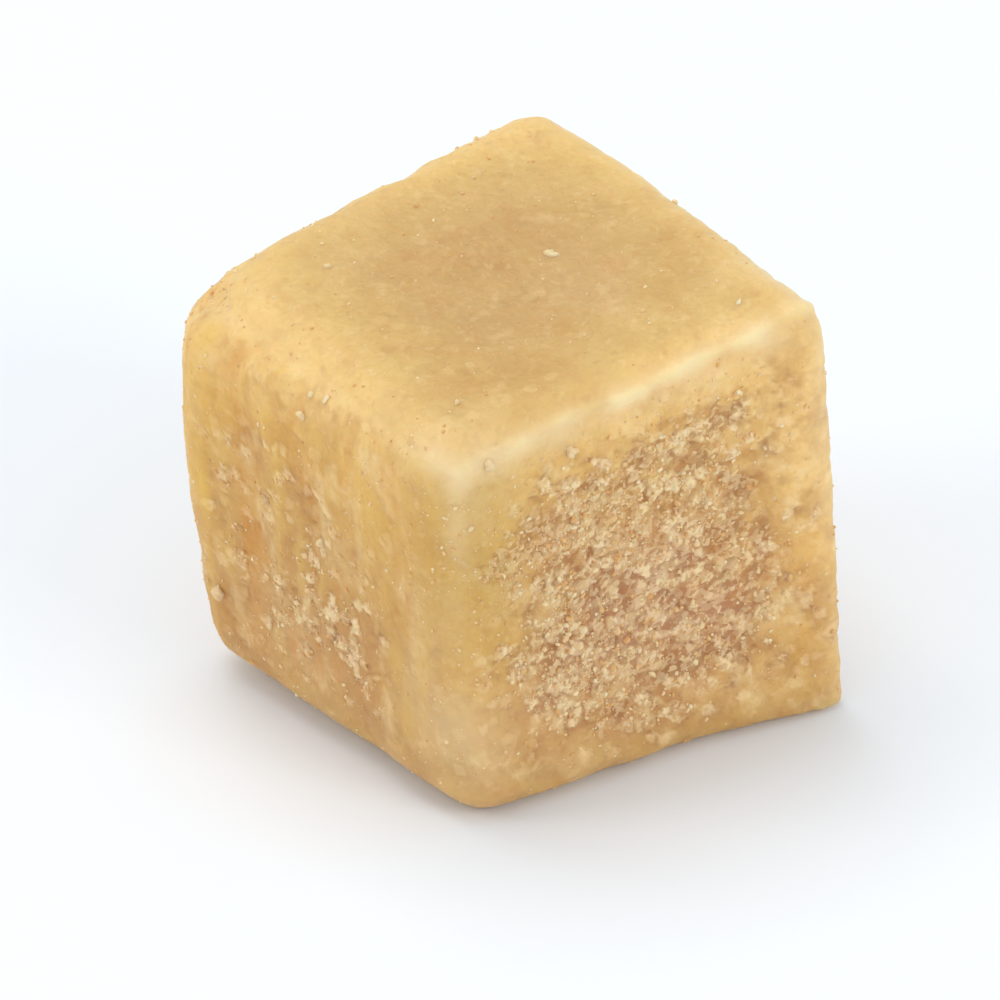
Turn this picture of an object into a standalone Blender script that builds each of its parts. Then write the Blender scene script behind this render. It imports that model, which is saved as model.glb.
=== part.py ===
"""A butter caramel: one soft cube of boiled sugar, butter and milk, knife-cut from a slab.

Metres, +Z up. The origin is at the middle of the face it rests on, -Y is its front side and -X its left.
The caramel is one solid. It starts as a grid on a cube, whose points are rounded at the edges, spread
between the eight uneven corners of the cut piece, and pressed in or swelled out on each side.
"""

import math

import bmesh
import bpy
from mathutils import Vector

MM = 0.001

# Driving dimensions, in millimetres. The slab is 12 mm thick and is cut every 12 mm.
CUT = 12.0
HALF = CUT / 2

# The knives drag the soft slab, so no two corners match. For each upright edge, by its side in X and Y:
# where its foot and its shoulder stand off the square cut, how high the shoulder is above the 12 mm
# slab, how far the edge bellies out between them, and its rounding at the foot and at the shoulder.
UPRIGHT_EDGES = {
    (-1, -1): dict(foot=(0.75, 0.95), shoulder=(0, 1.6), rise=0.1, belly=0.15, rounds=(1.05, 1.3)),
    (1, -1): dict(foot=(0.2, -0.2), shoulder=(-0.2, 0.15), rise=0.75, belly=0.05, rounds=(0.6, 0.9)),
    (-1, 1): dict(foot=(-0.2, -0.1), shoulder=(-1.15, 0.5), rise=0.4, belly=0.4, rounds=(1.5, 1.6)),
    (1, 1): dict(foot=(-0.4, -0.6), shoulder=(-0.35, 0.65), rise=1.05, belly=0.2, rounds=(1.1, 1.0)),
}

# How far each side is pressed in at its middle; a swelling is negative. The resting face stays flat.
PRESSED_IN = {
    (1, -1): 0.28,  # front, -Y: the cut side, which shrank as it dried
    (0, -1): 0.12,  # left, -X
    (1, 1): 0.22,  # back, +Y
    (0, 1): 0.18,  # right, +X
    (2, 1): 0.15,  # top, +Z: the slab's skin
}

# The grid: stations along each edge of the cube, from the middle outwards.
FLAT_STEPS = 5
ROUND_STEPS = 3
HALF_STEPS = FLAT_STEPS + ROUND_STEPS

BUTTER_TAN = (0.672, 0.428, 0.168, 1.0)


def between(low, high, share):
    """The value at share 0 to 1 of the way from low to high."""
    return low + (high - low) * share


def over_corners(place, value):
    """value(side_x, side_y, side_z) of the eight corners, blended at place, whose parts run from -1 to 1."""
    share = [(c + 1) / 2 for c in place]
    rows = []
    for side_y in (-1, 1):
        for side_z in (-1, 1):
            rows.append(between(value(-1, side_y, side_z), value(1, side_y, side_z), share[0]))
    front = between(rows[0], rows[1], share[2])
    back = between(rows[2], rows[3], share[2])
    return between(front, back, share[1])


def corner(side_x, side_y, side_z):
    """Where this corner of the caramel would be if its edges were sharp."""
    edge = UPRIGHT_EDGES[side_x, side_y]
    if side_z < 0:
        return Vector((side_x * HALF + edge["foot"][0], side_y * HALF + edge["foot"][1], 0.0))
    lean = edge["shoulder"]
    return Vector((side_x * HALF + lean[0], side_y * HALF + lean[1], CUT + edge["rise"]))


def rounding(side_x, side_y, side_z):
    """The radius of the edges at this corner."""
    at_foot, at_shoulder = UPRIGHT_EDGES[side_x, side_y]["rounds"]
    return at_shoulder if side_z > 0 else at_foot


def belly(side_x, side_y, side_z):
    """How far the upright edge through this corner swells out, as a vector away from the middle."""
    return Vector((side_x, side_y, 0.0)).normalized() * UPRIGHT_EDGES[side_x, side_y]["belly"]


def station(grid, radius):
    """Moves an even grid place from -1 to 1 to where the flat ends and the round edge takes even turns."""
    step = abs(grid) * HALF_STEPS
    flat = HALF - radius
    if step <= FLAT_STEPS:
        reach = flat * step / FLAT_STEPS
    else:
        turn = math.radians(45) * (step - FLAT_STEPS) / ROUND_STEPS
        reach = flat + radius * math.tan(turn)
    return math.copysign(reach, grid)


def rounded(grid):
    """The grid place on a square cube with rounded edges, still from -1 to 1."""
    radius = over_corners(grid, rounding)
    flat = HALF - radius
    place = Vector([station(c, radius) for c in grid])
    core = Vector([max(-flat, min(flat, c)) for c in place])
    return (core + (place - core).normalized() * radius) / HALF


def dish(grid, place):
    """How far the point moves inwards: most at the middle of its side and nothing at the edges."""
    move = Vector((0.0, 0.0, 0.0))
    for axis in range(3):
        side = round(grid[axis], 6)
        depth = PRESSED_IN.get((axis, side), 0.0)
        across = [place[k] for k in range(3) if k != axis]
        share = math.prod(max(0.0, 1 - c * c) ** 2 for c in across)
        move[axis] -= side * depth * share
    return move


def caramel_point(grid):
    """The point of the caramel's surface for a point of the even grid, in millimetres."""
    place = rounded(grid)
    swell = over_corners(place, belly) * (1 - place.z ** 2)
    return over_corners(place, corner) + swell + dish(grid, place)


def make_caramel():
    """The caramel's closed surface, in metres, standing on the origin."""
    shape = bmesh.new()
    bmesh.ops.create_cube(shape, size=2)
    bmesh.ops.subdivide_edges(shape, edges=shape.edges[:], cuts=2 * HALF_STEPS - 1, use_grid_fill=True)
    for vert in shape.verts:
        vert.co = caramel_point(vert.co) * MM
    low = [min(vert.co[k] for vert in shape.verts) for k in range(3)]
    high = [max(vert.co[k] for vert in shape.verts) for k in range(3)]
    foot = Vector(((low[0] + high[0]) / 2, (low[1] + high[1]) / 2, 0.0))
    bmesh.ops.translate(shape, verts=shape.verts, vec=-foot)
    bmesh.ops.recalc_face_normals(shape, faces=shape.faces)
    mesh = bpy.data.meshes.new("caramel")
    shape.to_mesh(mesh)
    shape.free()
    mesh.shade_smooth()
    return mesh


def butter_caramel_finish():
    """Soft milk caramel: tan, waxy rather than shiny."""
    finish = bpy.data.materials.new("butter_caramel")
    finish.use_nodes = True
    shader = finish.node_tree.nodes["Principled BSDF"]
    shader.inputs["Base Color"].default_value = BUTTER_TAN
    shader.inputs["Roughness"].default_value = 0.55
    shader.inputs["Metallic"].default_value = 0.0
    return finish


for leftover in list(bpy.data.objects):
    bpy.data.objects.remove(leftover, do_unlink=True)

caramel = bpy.data.objects.new("caramel", make_caramel())
caramel.data.materials.append(butter_caramel_finish())
bpy.context.scene.collection.objects.link(caramel)
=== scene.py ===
"""The looks of a butter caramel: a soft cube of boiled sugar, butter and milk, knife-cut from a slab."""

import math
import random

import bmesh
import bpy
from mathutils import Euler, Matrix, Vector, noise
from mathutils.bvhtree import BVHTree


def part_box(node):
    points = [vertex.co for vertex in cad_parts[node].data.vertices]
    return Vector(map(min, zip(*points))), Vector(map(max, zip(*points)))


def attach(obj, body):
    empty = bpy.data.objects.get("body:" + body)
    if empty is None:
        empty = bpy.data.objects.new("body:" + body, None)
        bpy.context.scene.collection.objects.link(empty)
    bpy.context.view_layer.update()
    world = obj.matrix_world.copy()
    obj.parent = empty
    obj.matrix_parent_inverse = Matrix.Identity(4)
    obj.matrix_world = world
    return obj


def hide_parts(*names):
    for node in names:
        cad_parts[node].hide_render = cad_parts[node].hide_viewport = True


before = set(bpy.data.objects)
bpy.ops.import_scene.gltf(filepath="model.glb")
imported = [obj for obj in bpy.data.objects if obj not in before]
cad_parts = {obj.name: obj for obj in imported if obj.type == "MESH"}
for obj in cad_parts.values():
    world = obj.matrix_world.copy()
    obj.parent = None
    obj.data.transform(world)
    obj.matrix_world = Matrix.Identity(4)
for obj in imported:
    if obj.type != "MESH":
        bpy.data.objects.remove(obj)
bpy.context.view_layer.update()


# ---------------------------------------------------------------------------------------------------------
# The caramel itself: one lump of milk caramel, poured as a slab and cut while it was still soft. The knives
# dragged its left and right sides into streaks and tore the front and back, where the sugar dried to
# grains. Its solid gives the shape, and a fine grid laid on that solid gets the relief.
# ---------------------------------------------------------------------------------------------------------

MM = 0.001
HALF_WIDTH = 6.2  # of the caramel, in millimetres

# The grid is made as a cube that runs from -1 to 1, and a place is a point of that cube.
GRID_STEPS = 128  # along each edge, so about 0.1 mm between points
FACET_SMOOTHING = 14  # rounds of smoothing, which take the solid's facets away


def ramp(value, low, high):
    """0 below low, 1 above high, with a smooth rise between."""
    share = min(1.0, max(0.0, (value - low) / (high - low)))
    return share * share * (3 - 2 * share)


def bell(apart, width):
    """1 at no distance, and nearly nothing at twice the width."""
    return math.exp(-((apart / width) ** 2))


def from_point(place, point):
    """How far the place is from another place, in millimetres."""
    return (place - Vector(point)).length * HALF_WIDTH


def from_line(place, **line):
    """How far the place is from a line along the cube, such as the edge x=-1, z=1, in millimetres."""
    return math.hypot(*(getattr(place, axis) - value for axis, value in line.items())) * HALF_WIDTH


def spots(place, table):
    """The sum of a table's spots at a place, each given as its middle, its width in mm and its strength."""
    return sum(strength * bell(from_point(place, middle), width) for middle, width, strength in table)


def wave(at, size):
    """Smooth noise, about -1 to 1, whose lumps are size across, in the units of the point."""
    return noise.noise(at / size)


def lumps(at, kind):
    """Relief of one kind, given as its height and width."""
    height, width = kind
    return height * wave(at, width)


OCTAVES = 4  # how many sizes of lump a ragged noise has


def patches(at, kind):
    """Patches within patches, about -1 to 1, of a kind given as its width and the fall of its octaves."""
    width, fall = kind
    full = sum(2.0 ** (-fall * k) for k in range(OCTAVES))
    return noise.fractal(at / width, fall, 2.0, OCTAVES) / full


# What the cut left on each side, mostly from 0 to 1: how grainy it is all over, how much of its middle
# dried to sugar grains and to a pink bloom, how mottled it is, how strongly a knife streaked it, and how
# near to the edges the grains come. A side is named by the axis that it faces along and by which end of it.
FRONT, BACK, LEFT, RIGHT, TOP, UNDERSIDE = (1, -1), (1, 1), (0, -1), (0, 1), (2, 1), (2, -1)
SIDES = {
    FRONT: {"grit": 0.3, "sugar": 1.0, "bloom": 1.0, "mottle": 1.0, "drag": 0.1, "reach": 1.08},
    BACK: {"grit": 0.3, "sugar": 0.8, "bloom": 0.8, "mottle": 1.0, "drag": 0.3, "reach": 1.1},
    LEFT: {"grit": 0.22, "sugar": 0.55, "bloom": 0.4, "mottle": 0.85, "drag": 0.9, "reach": 0.88},
    RIGHT: {"grit": 0.28, "sugar": 0.55, "bloom": 0.6, "mottle": 1.0, "drag": 0.8, "reach": 1.1},
    TOP: {"grit": 0.14, "sugar": 0.0, "bloom": 0.0, "mottle": 0.5, "drag": 0.1, "reach": 0.85},
    UNDERSIDE: {"grit": 0.2, "sugar": 0.1, "bloom": 0.2, "mottle": 0.6, "drag": 0.0, "reach": 0.9},
}
# Where the middle of each side's grains is, and the axis that its streaks run along.
MIDDLES = {
    FRONT: (0.05, 0.0, 0.0),
    BACK: (-0.1, 0.0, 0.05),
    LEFT: (0.0, 0.12, -0.4),
    RIGHT: (0.0, 0.05, 0.1),
    TOP: (0.1, 0.1, 0.0),
    UNDERSIDE: (0.0, 0.0, 0.0),
}
STREAKED_ALONG = {FRONT: 2, BACK: 2, LEFT: 2, RIGHT: 1, TOP: 0, UNDERSIDE: 0}
SQUARENESS = 3.5  # of the outline of a side's grains: 2 would be round

# How far out from the middle of a side, from 0 to 1, the next one starts to share its values, and where its
# edge and its very edge start and are reached. The top has its own look from close to its edges.
SHARED_FROM = 0.86
NEAR_EDGE = (0.7, 0.98)
VERY_EDGE = (0.9, 1.0)
ON_TOP = (0.93, 1.0)


def sides_at(place):
    """The sides that meet at a place, each with its share of it."""
    shares = {}
    for axis in range(3):
        share = ramp(abs(place[axis]), SHARED_FROM, 1.0)
        if share:
            shares[axis, 1 if place[axis] > 0 else -1] = share
    total = sum(shares.values())
    return [(side, share / total) for side, share in shares.items()]


def shared(sides, name):
    """A value of SIDES, shared between the sides that meet here."""
    return sum(share * SIDES[side][name] for side, share in sides)


def off_middle(place, side, lower=0.0):
    """How far the place is from the middle of its side's grains, where 1 is half a side."""
    apart = place - Vector(MIDDLES[side]) + Vector((0, 0, lower))
    return sum(abs(apart[k]) ** SQUARENESS for k in range(3) if k != side[0]) ** (1 / SQUARENESS)


def drawn_out(at, side, stretch):
    """The point moved so that noise read there is drawn out along the streaks of its side."""
    drawn = at.copy()
    drawn[STREAKED_ALONG[side]] *= stretch
    return drawn


# The soft unevenness of the whole, in millimetres: how high each kind of lump is and how wide. The shifts
# read the noise elsewhere, so that one kind doesn't follow another.
SWELL = (0.08, 4.2)
RIPPLE = (0.035, 1.4)
RIPPLE_SHIFT = Vector((7, 3, 5))
RAGGED_EDGE = (0.04, 0.8)
RAGGED_SHIFT = Vector((2, 9, 4))
NICK = (0.035, 0.36)  # only on the very edge
SOFT_EDGE = (0.35, 1.9)  # how much rounder the top left edge is behind its front end, and how wide that is
FULL_EDGE = (0.22, 1.5)  # how far the top right and front right edges bulge, and how wide the bulge is

# Dents and shallow hollows: where each is, and how wide and how deep it is in millimetres.
DENTS = (
    ((-0.46, -1.0, -1.0), 0.8, 0.25),
    ((0.35, -1.0, -1.0), 1.4, 0.12),
    ((-1.0, -0.15, -1.0), 1.5, 0.15),
    ((-1.0, 0.6, 1.0), 1.3, 0.08),
    ((-1.0, 1.0, 1.0), 2.2, 0.35),
    ((-1.0, -1.0, -1.0), 1.8, 0.3),
    ((1.0, 1.0, 0.2), 1.1, 0.2),
    ((0.2, 1.0, 1.0), 0.9, 0.15),
    ((-1.0, 1.0, -0.4), 1.0, 0.12),
    ((0.15, -0.1, 1.0), 3.6, 0.12),
    ((0.1, -1.0, -0.1), 3.2, 0.1),
)

# The foot is tucked in, where the soft caramel sagged out over it: how far, and how high that reaches, in
# millimetres. Its front right corner is crisp and stands out a little: where it is, how wide that is in
# millimetres, and how many times over it takes the tuck away.
FOOT_TUCK = (0.3, 1.0)
CRISP_CORNER = ((1, -1, -1), 3.0, 1.6)


def softened(place):
    """1 along the soft top left edge, falling to 0 at its front end, which stayed firm."""
    return ramp(place.y, -0.8, 0.2)


def edge_form(place):
    """The height that the fuller edges add to the solid, less what the soft edge takes away."""
    depth, width = SOFT_EDGE
    soft = depth * bell(from_line(place, x=-1, z=1), width) * softened(place)
    bulge, width = FULL_EDGE
    apart = min(from_line(place, x=1, z=1), from_line(place, x=1, y=-1))
    return bulge * bell(apart, width) * ramp(-place.y, -1.0, -0.2) - soft


def dented(place):
    """How deep the dents are here, in millimetres."""
    return sum(depth * (1 - ramp(from_point(place, middle), 0.0, width)) for middle, width, depth in DENTS)


def foot_tuck(place, up):
    """By what share the foot is narrower at this place, which is up millimetres above the ground."""
    tuck, reach = FOOT_TUCK
    corner, width, crispness = CRISP_CORNER
    tuck *= 1 - crispness * bell(from_point(place, corner), width)
    return tuck * max(0.0, 1 - up / reach) ** 2 / HALF_WIDTH


# The torn and dried middles, in millimetres: how high each kind of relief is and how wide its lumps are.
TORN = (0.07, 1.1)
TORN_FALL, TORN_STEP = 0.8, 2.1  # how much weaker and how much finer each octave of it is than the last
GRAIN = (0.055, 0.4)
PIT = (0.09, 0.5)
PIT_SHIFT = Vector((11, 1, 6))
PIT_FROM = (0.3, 0.6)  # the noise at which a pit starts, and at which it is as deep as it gets
BUBBLE = (0.1, 0.2, 1.7)  # its depth and half its width, and how far apart bubbles are

# How the outline of a side's grains bends, and its bloom's even more: by what share of half a side, and how
# long each bend is in millimetres.
BENDS = (0.2, 2.6)
SLOW_BENDS = (0.2, 5.5)
TORN_BENDS = 0.14  # as much as the torn relief bends it
BLOOM_BENDS = (0.3, 1.9)
BLOOM_LOWER = 0.2  # how far the bloom lies below the middle of the grains
OWN_CELL = 31  # spreads the grains' middles so far that each reads a chance of its own


def torn(at):
    """The ragged noise of torn caramel, about -1 to 1."""
    return noise.fractal(at / TORN[1], TORN_FALL, TORN_STEP, OCTAVES)


def grain_at(at):
    """The grain that a point is in: its own chance, about -1 to 1, and how far inside it the point is."""
    (near, second), middles = (part[:2] for part in noise.voronoi(at / GRAIN[1]))
    return noise.cell(middles[0] * OWN_CELL), second - near


def bubble_at(at):
    """1 on the floor of a burst bubble, and 0 between bubbles."""
    half, apart = BUBBLE[1:]
    return 1 - ramp(noise.voronoi(at / apart)[0][0] * apart, 0.3 * half, half)


# The streaks that the knives dragged, in millimetres: how high each kind is and how wide, how much slower
# their noise runs along them, and how wide the patches are where they are stronger and weaker.
STREAK = (0.06, 0.7)
FINE_STREAK = (0.03, 0.28)
STREAK_STRETCH = 0.14
DRAG_PATCH = 2.2

# The furrows and ridges that one knife left down the left side: where each runs across the side, from -1 at
# the front to 1 at the back, how wide and how high it is in millimetres, and where it fades out downwards.
KNIFE_MARKS = (
    (0.93, 0.35, -0.04, -0.9),
    (0.74, 0.5, 0.09, -0.6),
    (0.5, 0.42, -0.09, -0.1),
    (0.3, 0.35, 0.05, -0.2),
    (0.12, 0.35, -0.09, -0.3),
    (-0.22, 0.4, -0.04, -0.4),
    (-0.52, 0.45, -0.03, -0.4),
)
MARK_SWAY = (0.5, 3.0)  # how far the marks sway aside and how long a sway is, in millimetres
MARK_WAVER = (0.15, 0.9)
MARK_LUMPS = 1.3  # how long each stronger and weaker part of a mark is
FULL_MARK = 0.2  # the height that would colour a mark fully

# The lip, which is skin that a knife pulled over the top front edge, in millimetres: how high and how wide
# it is, how far behind the edge it runs, how far it wavers from there and how long a waver is, and how long
# each lump of it is.
LIP = (0.12, 0.28)
LIP_BEHIND = 0.25
LIP_WAVER = (0.25, 1.6)
LIP_LUMPS = 1.1


def knife_mark(place, at):
    """The height of the left side's furrows and ridges at this point."""
    side = ramp(-place.x, 0.7, 0.9) * (1 - ramp(place.z, 0.75, 1.0))
    if not side:
        return 0.0
    sway = lumps(at, MARK_SWAY) + lumps(at, MARK_WAVER)
    height = 0.0
    for line, width, depth, low in KNIFE_MARKS:
        apart = (place.y - line) * HALF_WIDTH + sway
        height += depth * bell(apart, width) * ramp(place.z, low - 0.6, low + 0.2)
    return side * height * (1 + 0.8 * wave(at, MARK_LUMPS))


def lip_at(place, at, rough):
    """The share of the lip's height that is here, below 0 in the crease under it, and of its painted
    highlight.
    """
    if place.y >= -0.7 or place.z <= 0.7:
        return 0.0, 0.0
    behind = (place.y + place.z) * HALF_WIDTH - LIP_BEHIND - lumps(at, LIP_WAVER)
    pulled = (0.35 + 0.65 * ramp(place.x, -0.9, 0.0)) * (1 - 0.35 * ramp(place.x, 0.3, 1.0))
    pulled *= (1 + 0.8 * wave(at, LIP_LUMPS) + 0.3 * rough) * ramp(max(-place.y, place.z), 0.94, 1.0)
    width = LIP[1]
    broad = 2.2 * width
    lip = bell(behind, width) - 0.4 * bell(behind + broad, width)
    return pulled * lip, pulled * bell(behind, broad)


# The patches of colour that no relief goes with: the widths of the slow clouds and of the mottling, and how
# much weaker each octave of them is than the last.
CLOUD = (2.6, 1.0)
MOTTLE = (0.8, 0.62)

# Where a highlight is painted on the rim, and where the side is painted lighter, or below 0 darker and
# browner,
# than the rest of it: the middle of each spot, its width in millimetres and its strength.
HIGHLIGHT_SPOTS = (((-1, -1, 1), 2.8, 0.14), ((-1, -1, -0.7), 2.2, 0.4))
PAINTED_LIGHTING_SPOTS = (
    ((0.7, -1, 0.35), 3.6, 0.9),
    ((0.35, -1, 0.85), 1.8, 0.9),
    ((0.8, -1, -0.7), 2.2, 0.4),
    ((-0.25, -1, -0.05), 2.2, -0.8),
    ((-1, 0.1, 0.05), 3.0, -0.4),
)
LEFT_BROWNER = 0.3  # how much browner all of the left side is
# How strongly a highlight is painted on the lip's ridge and on the broad band along it.
LIP_RIDGE_HIGHLIGHT, LIP_BAND_HIGHLIGHT = 0.23, 0.2

# More widths, in millimetres: of the painted light along the soft edge, of the clear stripe beside the
# front left edge, of the painted highlight line on that edge, and of each patch of painted highlight along
# the others.
SOFT_LOOK = 2.5
CLEAR_STRIPE = 2.2
HIGHLIGHT_LINE = 0.7
HIGHLIGHT_PATCH = 1.2


def rim_highlight_at(place, at, edgeward, near_edge):
    """A painted highlight on the edges, in patches: most round the top, on the right and at the front left.
    """
    patch = wave(at, HIGHLIGHT_PATCH)
    edge_highlight = ramp(edgeward, 0.82, 1.0) * (0.2 + 0.6 * patch) * ramp(place.z, -0.4, 0.8)
    if place.z > 0.8:
        edge_highlight *= ramp(-place.y, 0.2, 0.9)
    rim_highlight = edge_highlight + 0.2 * near_edge * (ramp(place.z, 0.7, 0.95) + ramp(place.x, 0.8, 0.95))
    front_left = bell(from_line(place, x=-1, y=-1), HIGHLIGHT_LINE) * ramp(place.z, -0.1, 0.9)
    return rim_highlight + 0.28 * front_left * (0.7 + 0.6 * patch) + spots(place, HIGHLIGHT_SPOTS)


def painted_lighting_at(place, sides, side, on_top, soft):
    """Painted light and shade: paler upwards on the sides and outwards on the top, browner on the left, and
    the spots.
    """
    painted_lighting = (1 - on_top) * place.z - on_top * (1 - ramp(off_middle(place, side), 0.2, 0.9))
    painted_lighting += on_top * ramp(place.x + place.y, 0.6, 1.8) + 0.8 * soft
    painted_lighting -= LEFT_BROWNER * sum(share for name, share in sides if name == LEFT)
    return painted_lighting + spots(place, PAINTED_LIGHTING_SPOTS)


def mottling_at(at, sides):
    """The mottling of the sides that meet here, drawn out where a knife streaked them."""
    mottling = 0.0
    for name, share in sides:
        drawn = drawn_out(at, name, 1 - 0.6 * SIDES[name]["drag"])
        mottling += share * SIDES[name]["mottle"] * patches(drawn, MOTTLE)
    return mottling


def lay_on_solid(shape, solid):
    """Moves every point of the cube's grid straight out from the middle on to the solid."""
    tree = BVHTree.FromPolygons([v.co for v in solid.vertices], [p.vertices for p in solid.polygons])
    low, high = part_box("caramel")
    middle = (low + high) / 2
    half = (high - low) / 2
    for vert in shape.verts:
        vert.co = tree.ray_cast(middle, vert.co * half)[0]


def add_object(name, shape):
    """Makes an object of a finished shape."""
    mesh = bpy.data.meshes.new(name)
    shape.to_mesh(mesh)
    shape.free()
    made = bpy.data.objects.new(name, mesh)
    bpy.context.scene.collection.objects.link(made)
    return made


shape = bmesh.new()
bmesh.ops.create_cube(shape, size=2)
bmesh.ops.subdivide_edges(shape, edges=shape.edges[:], cuts=GRID_STEPS - 1, use_grid_fill=True)
places = [vert.co.copy() for vert in shape.verts]
lay_on_solid(shape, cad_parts["caramel"].data)
for _ in range(FACET_SMOOTHING):
    bmesh.ops.smooth_vert(
        shape, verts=shape.verts, factor=0.5, use_axis_x=True, use_axis_y=True, use_axis_z=True
    )
bmesh.ops.recalc_face_normals(shape, faces=shape.faces)
shape.normal_update()

# What the material reads at each point: how dried it is, its pink bloom, the relief with its painted shade
# and light, each grain's own shade, the clouds and the mottling, how far from the top and the foot, how
# near an edge for a painted glow, the rim's painted highlight, how dragged, the painted light and shade of
# its side, how clear.
LOOKS = (
    "sugar", "bloom", "relief_shade", "tint", "cloud", "mottle", "sides", "edge_glow", "rim_highlight", "drag", "painted_lighting", "clear"
)
layers = {name: shape.verts.layers.float.new(name) for name in LOOKS}

UNDERSIDE_KEEPS = 0.4  # the share of its relief that the pressed underside keeps
FREE_FROM = 0.5  # how high above the ground, in millimetres, it keeps all of it

moves = []
clumps = []
for vert, place in zip(shape.verts, places):
    at = vert.co / MM
    sides = sides_at(place)
    side = max(sides, key=lambda entry: entry[1])[0]
    edgeward = sorted(abs(c) for c in place)[1]
    near_edge = ramp(edgeward, *NEAR_EDGE)
    on_top = ramp(place.z, *ON_TOP)
    rough = torn(at)

    # How dried it is: the sugar thins out towards the edges grain by grain, each by its own chance.
    reach = shared(sides, "reach")
    bends = lumps(at, BENDS) + lumps(at, SLOW_BENDS) + TORN_BENDS * rough
    chance, inside = grain_at(at)
    dried = shared(sides, "sugar") * (1 - ramp(off_middle(place, side) + bends, reach - 0.75, reach + 0.05))
    grit = shared(sides, "grit")
    sugar = grit + (1 - grit) * ramp(dried + 0.3 * chance, 0.2, 0.9)
    apart = off_middle(place, side, lower=BLOOM_LOWER) + bends + lumps(at, BLOOM_BENDS)
    bloom = shared(sides, "bloom") * (1 - ramp(apart, 0.0, reach - 0.15))

    # The form and its unevenness, in millimetres out from the solid.
    height = lumps(at, SWELL) + lumps(at + RIPPLE_SHIFT, RIPPLE)
    height += near_edge * lumps(at + RAGGED_SHIFT, RAGGED_EDGE)
    height += ramp(edgeward, *VERY_EDGE) * lumps(at, NICK) + edge_form(place) - dented(place)

    # The grains, each as high as its chance, the pits and the burst bubbles.
    grain = ramp(inside, 0.0, 0.4) * (0.55 + 0.45 * chance) - 0.5
    pit = ramp(wave(at + PIT_SHIFT, PIT[1]), *PIT_FROM)
    burst = sugar * bubble_at(at)
    height += sugar * (GRAIN[0] * grain + TORN[0] * rough - PIT[0] * pit) - BUBBLE[0] * burst

    # What the knives dragged and pulled.
    drag = shared(sides, "drag") * (0.6 + 0.6 * wave(at, DRAG_PATCH)) * (1 - 0.6 * near_edge)
    drawn = drawn_out(at, side, STREAK_STRETCH)
    streak = lumps(drawn, STREAK) + lumps(drawn, FINE_STREAK)
    mark = knife_mark(place, at)
    lip, lip_highlight = lip_at(place, at, rough)
    height += drag * streak + mark + LIP[0] * lip

    # The underside was pressed flat; the wall at its rim is free.
    if place.z < -0.999:
        height *= UNDERSIDE_KEEPS + (1 - UNDERSIDE_KEEPS) * ramp(at.z, 0.0, FREE_FROM)
    moves.append(vert.normal * height * MM)

    # The colours that no relief brings, among them the rim's painted highlight and the painted light along
    # the soft edge, and the chance of a crystal here, which the painted highlight lowers.
    rim_highlight = rim_highlight_at(place, at, edgeward, near_edge) + LIP_RIDGE_HIGHLIGHT * lip + LIP_BAND_HIGHLIGHT * lip_highlight
    soft = bell(from_line(place, x=-1, z=1), SOFT_LOOK) * softened(place)
    clear = bell(from_line(place, x=-0.9, y=-1), CLEAR_STRIPE) * ramp(place.z, -0.6, 0.3) * (1 - on_top)
    clumps.append(sugar**1.5 * (0.2 + ramp(rough, -0.3, 0.5)) * (1 - ramp(rim_highlight, 0.2, 0.6)))

    # Of these, the relief's darker pits and lighter crests are painted shade and light, the golden edge is
    # a painted glow, the rim is a painted highlight, and the side's paleness is painted light and shade.
    looks = {
        "sugar": sugar,
        "bloom": bloom,
        "relief_shade": sugar * (0.8 * grain + 1.2 * rough - pit) - 0.4 * burst,
        "tint": sugar * chance * ramp(inside, 0.0, 0.2),
        "cloud": patches(at, CLOUD) * (1 - on_top * (0.6 + 0.2 * place.y)),
        "mottle": mottling_at(at, sides),
        "sides": 1 - ramp(abs(place.z), 0.8 - 0.3 * soft, 1.0),
        "edge_glow": near_edge,
        "rim_highlight": max(0.0, min(1.0, rim_highlight)),
        "drag": drag * streak / STREAK[0] + mark / FULL_MARK,
        "painted_lighting": painted_lighting_at(place, sides, side, on_top, soft),
        "clear": clear,
    }
    for name, value in looks.items():
        vert[layers[name]] = value

for vert, place, move in zip(shape.verts, places, moves):
    vert.co += move
    vert.co.z = max(0.0, vert.co.z)
    tucked = 1 - foot_tuck(place, vert.co.z / MM)
    vert.co.x *= tucked
    vert.co.y *= tucked

shape.normal_update()
surface = [(vert.co.copy(), vert.normal.copy(), vert[layers["sugar"]]) for vert in shape.verts]
caramel = add_object("caramel_body", shape)
caramel.data.shade_smooth()

# Its finish: soft milk caramel, waxy and a little translucent, so light glows through the edges, and a
# golden glow is painted near them too. The knife left them smooth; where the sugar dried it is paler,
# pinker and matt, with painted shade in its pits, painted highlights on the rim and painted light that
# pales it upwards.


def srgb(code):
    """The linear colour of an sRGB hex value such as #DCA862."""
    parts = [int(code[k : k + 2], 16) / 255 for k in (1, 3, 5)]
    return [*(((c + 0.055) / 1.055) ** 2.4 if c > 0.04045 else c / 12.92 for c in parts), 1.0]


def add_node(tree, kind, inputs=None, **settings):
    """Adds a shader node with its settings, and links or sets each of its inputs."""
    made = tree.nodes.new("ShaderNode" + kind)
    for name, value in settings.items():
        setattr(made, name, value)
    for socket, value in (inputs or {}).items():
        if isinstance(value, bpy.types.NodeSocket):
            tree.links.new(value, made.inputs[socket])
        else:
            made.inputs[socket].default_value = value
    return made


# A colour Mix node's sockets, by number because their names repeat.
SHARE, FROM, TO, MIXED = 0, 6, 7, 2

# The finest patterns, in millimetres: the sugar's facets, and the waxy grain with how far it pushes the
# facets out of shape and how high it is.
FACET = 0.14
WAX_GRAIN = 0.24
WAX_PUSH = 0.3
WAX_HEIGHT = 0.12

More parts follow.
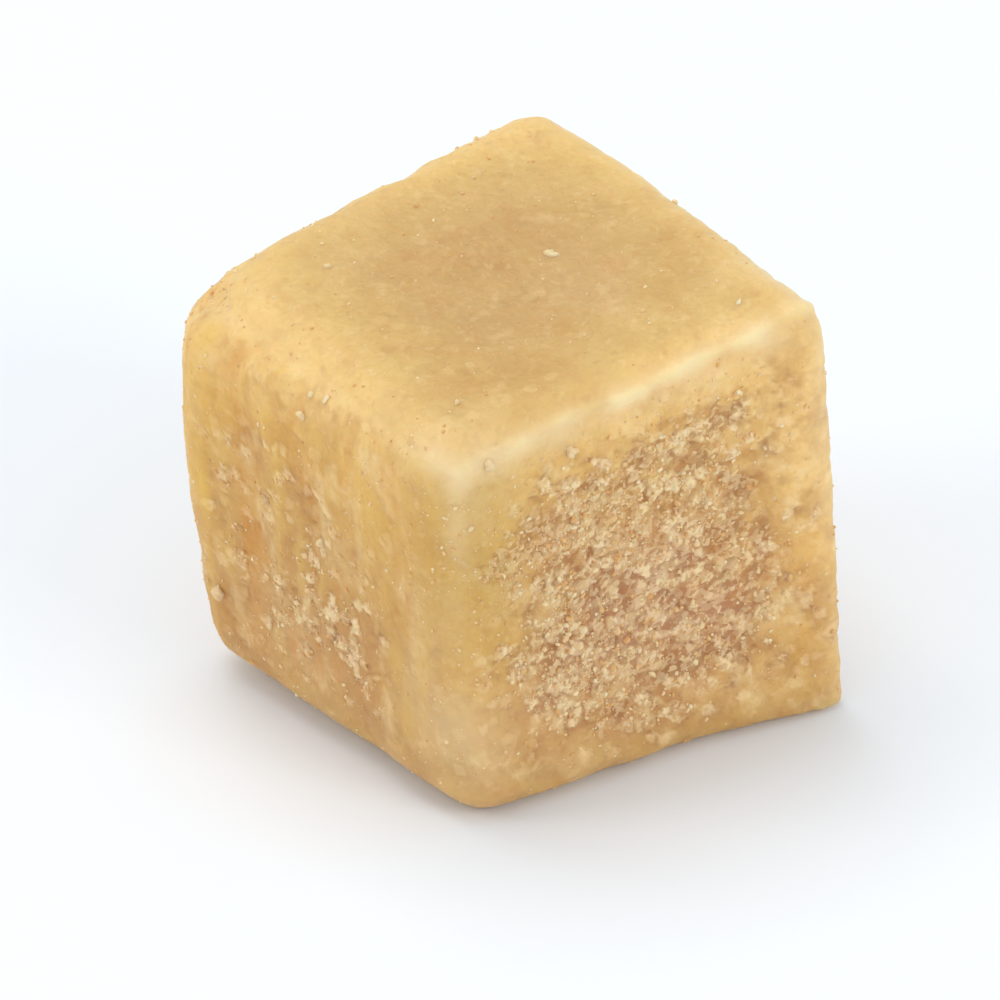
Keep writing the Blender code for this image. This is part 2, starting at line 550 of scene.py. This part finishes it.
milk_caramel = bpy.data.materials.new("milk_caramel")
milk_caramel.use_nodes = True
tree = milk_caramel.node_tree
shader = tree.nodes["Principled BSDF"]
where = add_node(tree, "TexCoord").outputs["Object"]
sugar, bloom, relief_shade, tint, cloud, mottle, sides, edge_glow, rim_highlight, drag, painted_lighting, clear = (
    add_node(tree, "Attribute", attribute_name=name).outputs["Fac"] for name in LOOKS
)
graining = {"Vector": where, "Scale": 1 / (WAX_GRAIN * MM), "Detail": 1.0}
wax = add_node(tree, "TexNoise", graining).outputs["Fac"]
pushing = {0: wax, 1: (WAX_PUSH * MM, -WAX_PUSH * MM, WAX_PUSH * MM), 2: where}
pushed = add_node(tree, "VectorMath", pushing, operation="MULTIPLY_ADD").outputs[0]
facet = add_node(tree, "TexVoronoi", {"Vector": pushed, "Scale": 1 / (FACET * MM)}).outputs["Color"]
light_facet = add_node(tree, "Math", {0: facet, 1: sugar}, operation="MULTIPLY").outputs[0]
dark_facet = add_node(tree, "Math", {0: sugar, 1: light_facet}, operation="SUBTRACT").outputs[0]

# The coats of colour over the golden base: what brings each out, where that starts and where it is full,
# how strong it is there, and the colour.
GOLDEN_BASE = "#DBB165"
COATS = (
    (cloud, -0.2, 0.24, 0.7, "#E4C27C"),
    (sides, 0.0, 1.0, 0.75, "#E8B04E"),
    # A painted glow: more golden near the edges, where light shines through.
    (edge_glow, 0.0, 1.0, 0.55, "#F0C066"),
    (sugar, 0.3, 1.0, 0.5, "#E6B876"),
    (bloom, 0.0, 1.0, 0.75, "#DC9C7A"),
    (bloom, 0.6, 1.0, 0.4, "#EFC0A0"),
    (cloud, 0.02, 0.35, 0.35, "#F6D29C"),
    (cloud, -0.02, -0.35, 0.35, "#BE8048"),
    # Painted light and shade: paler upwards and outwards, browner downwards.
    (painted_lighting, 0.2, 0.9, 0.45, "#F8CE84"),
    (painted_lighting, 0.3, -0.9, 0.55, "#BE8E56"),
    # Painted shade in the pits and bubbles, and painted light on the crests.
    (relief_shade, 0.0, -0.9, 0.6, "#A36836"),
    (relief_shade, 0.0, 0.6, 0.5, "#F4CD96"),
    (tint, -0.1, -0.9, 0.65, "#B4723C"),
    (tint, 0.1, 0.9, 0.8, "#FDDCA8"),
    (mottle, -0.08, -0.4, 0.6, "#C4853C"),
    (mottle, 0.08, 0.4, 0.6, "#F8D89C"),
    (clear, 0.0, 1.0, 0.65, "#CAA04A"),
    (facet, 0.4, 0.1, 0.14, "#C48238"),
    (dark_facet, 0.4, 0.9, 0.42, "#A46C3A"),
    (facet, 0.75, 0.95, 0.14, "#FCE0AC"),
    (light_facet, 0.4, 0.9, 0.5, "#FFE4B4"),
    (drag, -0.1, -1.0, 0.65, "#DC9438"),
    (drag, 0.1, 1.0, 0.65, "#ECC058"),
    # A painted highlight along the rim and the lip.
    (rim_highlight, 0.0, 1.0, 0.85, "#F6DDAC"),
)
colour = srgb(GOLDEN_BASE)
for cause, start, full, strength, hue in COATS:
    ends = {"Value": cause, "From Min": start, "From Max": full, "To Max": strength}
    share = add_node(tree, "MapRange", ends).outputs[0]
    layer = {SHARE: share, FROM: colour, TO: srgb(hue)}
    colour = add_node(tree, "Mix", layer, data_type="RGBA").outputs[MIXED]
tree.links.new(colour, shader.inputs["Base Color"])

# Waxy where a knife smoothed it, and dull and rough where the sugar dried.
dulling = {"Value": sugar, "From Max": 0.8, "To Min": 0.46, "To Max": 0.7}
tree.links.new(add_node(tree, "MapRange", dulling).outputs[0], shader.inputs["Roughness"])
roughened = add_node(tree, "MapRange", {"Value": sugar, "To Min": 0.35, "To Max": 1.0}).outputs[0]
bump = add_node(tree, "Bump", {"Height": wax, "Strength": roughened, "Distance": WAX_HEIGHT * MM})
tree.links.new(bump.outputs["Normal"], shader.inputs["Normal"])

shader.inputs["IOR"].default_value = 1.49
shader.inputs["Subsurface Weight"].default_value = 0.5
shader.inputs["Subsurface Radius"].default_value = (1.0, 0.6, 0.25)
shader.inputs["Subsurface Scale"].default_value = 1.2 * MM

caramel.data.materials.append(milk_caramel)
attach(caramel, "root")
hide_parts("caramel")


# ---------------------------------------------------------------------------------------------------------
# The sugar crystals: grains of sugar that came out of the caramel as it dried, half sunk in its cut sides,
# and a few loose ones on the skin. Each is a small angular lump, squashed and turned its own way.
# ---------------------------------------------------------------------------------------------------------

CRYSTAL_COUNT = 8500
CRYSTAL_WIDTH = (0.05, 0.17)  # in millimetres
CRYSTAL_RADIUS = 0.6  # in widths, before it is squashed
CRYSTAL_SQUASH = (0.6, 1.3)
CRYSTAL_LEAN = 0.5
CRYSTAL_OUT = (-0.4, 0.1)  # how far its middle stands out of the surface, in widths
CRYSTAL_UP = 1.2  # the least height of its middle above the ground, in widths
HANDFUL = 160  # how many are made in one go


def turned_and_squashed(draw, squash):
    """A turn of its own for a small lump, and a squash of its own along each axis."""
    turn = Euler([draw.uniform(0, math.tau) for _ in range(3)]).to_matrix().to_4x4()
    return turn, Matrix.Diagonal([draw.uniform(*squash) for _ in range(3)] + [1])


draw = random.Random(11)
picks = draw.choices(surface, weights=clumps, k=CRYSTAL_COUNT)
batch = bpy.data.meshes.new("handful")
shape = bmesh.new()
for start in range(0, CRYSTAL_COUNT, HANDFUL):
    handful = bmesh.new()
    tint = handful.verts.layers.float.new("tint")
    for spot, outwards, amount in picks[start : start + HANDFUL]:
        # Most are small, and the large ones are where there is most sugar.
        low, high = CRYSTAL_WIDTH
        width = (low + (high - low) * draw.random() ** 3 * (0.4 + 0.6 * amount)) * MM
        turn, squash = turned_and_squashed(draw, CRYSTAL_SQUASH)
        lean = Matrix.Shear("XY", 4, [draw.uniform(-CRYSTAL_LEAN, CRYSTAL_LEAN) for _ in range(2)])
        centre = spot + outwards * width * draw.uniform(*CRYSTAL_OUT)
        centre.z = max(centre.z, CRYSTAL_UP * width)
        placing = Matrix.Translation(centre) @ turn @ lean @ squash
        radius = CRYSTAL_RADIUS * width
        made = bmesh.ops.create_icosphere(handful, subdivisions=1, radius=radius, matrix=placing)
        shade = draw.random() ** 1.5
        for vert in made["verts"]:
            vert[tint] = shade
    handful.to_mesh(batch)
    handful.free()
    shape.from_mesh(batch)
bpy.data.meshes.remove(batch)
crystals = add_object("sugar_crystals", shape)

# Their finish: raw sugar still wet with caramel, clear to cream, with small bright facets.
caramel_sugar = bpy.data.materials.new("caramel_sugar")
caramel_sugar.use_nodes = True
tree = caramel_sugar.node_tree
shader = tree.nodes["Principled BSDF"]
shade = add_node(tree, "Attribute", attribute_name="tint").outputs["Fac"]
layer = {SHARE: shade, FROM: srgb("#E2AC6A"), TO: srgb("#FCE0B0")}
colour = add_node(tree, "Mix", layer, data_type="RGBA").outputs[MIXED]
tree.links.new(colour, shader.inputs["Base Color"])
shader.inputs["Roughness"].default_value = 0.35
shader.inputs["IOR"].default_value = 1.54
shader.inputs["Subsurface Weight"].default_value = 0.3
shader.inputs["Subsurface Radius"].default_value = (1.0, 0.6, 0.3)
shader.inputs["Subsurface Scale"].default_value = 0.15 * MM
crystals.data.materials.append(caramel_sugar)
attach(crystals, "root")


# ---------------------------------------------------------------------------------------------------------
# The crumbs: shreds of caramel that the knives tore off and that stuck to it again. Each is a soft lump of
# its own shape, pressed a little into the surface.
# ---------------------------------------------------------------------------------------------------------

CRUMB_COUNT = 26
CRUMB_RADIUS = (0.07, 0.2)  # in millimetres
CRUMB_SQUASH = (0.6, 1.4)
CRUMB_OUT = (-0.3, 0.2)  # how far its middle stands out of the surface, in radii
CRUMB_UP = 2  # the least height of its middle above the ground, in radii
CRUMB_LUMPS = (0.6, 0.16)  # how high they are, in radii, and how wide, in millimetres
CRUMB_CLOUDS = 0.2  # the width of its pale patches, in millimetres

draw = random.Random(5)
shape = bmesh.new()
for spot, outwards, _ in draw.sample(surface, CRUMB_COUNT):
    radius = draw.uniform(*CRUMB_RADIUS) * MM
    turn, squash = turned_and_squashed(draw, CRUMB_SQUASH)
    centre = spot + outwards * radius * draw.uniform(*CRUMB_OUT)
    centre.z = max(centre.z, CRUMB_UP * radius)
    placing = Matrix.Translation(centre) @ turn @ squash
    made = bmesh.ops.create_icosphere(shape, subdivisions=3, radius=radius, matrix=placing)
    for vert in made["verts"]:
        vert.co += (vert.co - centre).normalized() * radius * lumps(vert.co / MM, CRUMB_LUMPS)
crumbs = add_object("crumbs", shape)
crumbs.data.shade_smooth()

# Their finish: the same caramel, but dried through, so pale and matt.
dry_caramel = bpy.data.materials.new("dry_caramel")
dry_caramel.use_nodes = True
tree = dry_caramel.node_tree
shader = tree.nodes["Principled BSDF"]
where = add_node(tree, "TexCoord").outputs["Object"]
clouding = {"Vector": where, "Scale": 1 / (CRUMB_CLOUDS * MM), "Detail": 2.0}
cloud = add_node(tree, "TexNoise", clouding).outputs["Fac"]
layer = {SHARE: cloud, FROM: srgb("#DDB274"), TO: srgb("#F8E4BE")}
colour = add_node(tree, "Mix", layer, data_type="RGBA").outputs[MIXED]
tree.links.new(colour, shader.inputs["Base Color"])
shader.inputs["Roughness"].default_value = 0.7
shader.inputs["IOR"].default_value = 1.49
shader.inputs["Subsurface Weight"].default_value = 0.5
shader.inputs["Subsurface Radius"].default_value = (1.0, 0.6, 0.25)
shader.inputs["Subsurface Scale"].default_value = 0.2 * MM
crumbs.data.materials.append(dry_caramel)
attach(crumbs, "root")


# ---------------------------------------------------------------------------------------------------------
# The camera looks down on the left and front sides from far off, through a long lens, so the caramel's
# edges run nearly parallel.
# ---------------------------------------------------------------------------------------------------------

CAMERA_TURN = math.radians(-37)
CAMERA_RISE = math.radians(35)
CAMERA_AWAY = 0.9
PICTURE_WIDTH = 26.5 * MM  # at the caramel
TARGET_HEIGHT = 5.8 * MM
SENSOR_WIDTH = 36.0  # in millimetres, as the lens is

away = Vector(
    (
        math.sin(CAMERA_TURN) * math.cos(CAMERA_RISE),
        -math.cos(CAMERA_TURN) * math.cos(CAMERA_RISE),
        math.sin(CAMERA_RISE),
    )
)
lens = bpy.data.cameras.new("camera")
lens.sensor_width = SENSOR_WIDTH
lens.lens = SENSOR_WIDTH * CAMERA_AWAY / PICTURE_WIDTH
lens.clip_start = 0.01
lens.clip_end = 10.0
camera = bpy.data.objects.new("camera", lens)
camera.location = away * CAMERA_AWAY + Vector((0.0, 0.0, TARGET_HEIGHT))
camera.rotation_euler = away.to_track_quat("Z", "Y").to_euler()
bpy.context.scene.collection.objects.link(camera)
bpy.context.scene.camera = camera


# ---------------------------------------------------------------------------------------------------------
# The studio: plain white paper to stand on, a broad soft light overhead, a soft fill on either side, and
# faintly blue daylight all round.
# ---------------------------------------------------------------------------------------------------------

FLOOR_REACH = 0.6
FLOOR_GAP = 0.02 * MM  # between the floor and the caramel's foot
DAYLIGHT = 0.785  # the strength of what comes from all round

# Each light's place, behind the caramel, to its left and up, and its size, all in metres, then its power
# and its colour.
LIGHTS = {
    "overhead": (0.18, 0.16, 0.6, 0.38, 1.15, "#FFFCF7"),
    "left_fill": (-0.1, 0.5, 0.35, 0.25, 0.55, "#FFFDFA"),
    "right_fill": (-0.35, -0.45, 0.35, 0.25, 0.88, "#FFFDFA"),
}

shape = bmesh.new()
bmesh.ops.create_circle(shape, cap_ends=True, segments=64, radius=FLOOR_REACH)
bmesh.ops.translate(shape, verts=shape.verts, vec=(0.0, 0.0, -FLOOR_GAP))
floor = add_object("floor", shape)

# Its finish: uncoated white paper, matt, so it shows a soft shadow and no gloss.
paper = bpy.data.materials.new("white_paper")
paper.use_nodes = True
shader = paper.node_tree.nodes["Principled BSDF"]
shader.inputs["Base Color"].default_value = srgb("#F4F5F8")
shader.inputs["Roughness"].default_value = 0.9
floor.data.materials.append(paper)

world = bpy.data.worlds.new("white_room")
world.use_nodes = True
world.node_tree.nodes["Background"].inputs["Color"].default_value = srgb("#EEF8FF")
world.node_tree.nodes["Background"].inputs["Strength"].default_value = DAYLIGHT
bpy.context.scene.world = world

behind = Vector((-away.x, -away.y, 0.0)).normalized()
left = Vector((away.y, -away.x, 0.0)).normalized()
for name, (back, aside, up, size, power, hue) in LIGHTS.items():
    lamp = bpy.data.lights.new(name, "AREA")
    lamp.shape = "SQUARE"
    lamp.size = size
    lamp.energy = power
    lamp.color = srgb(hue)[:3]
    softbox = bpy.data.objects.new(name, lamp)
    softbox.location = behind * back + left * aside + Vector((0.0, 0.0, up))
    softbox.rotation_euler = softbox.location.to_track_quat("Z", "Y").to_euler()
    bpy.context.scene.collection.objects.link(softbox)
bpy.context.scene.view_settings.view_transform = "Standard"
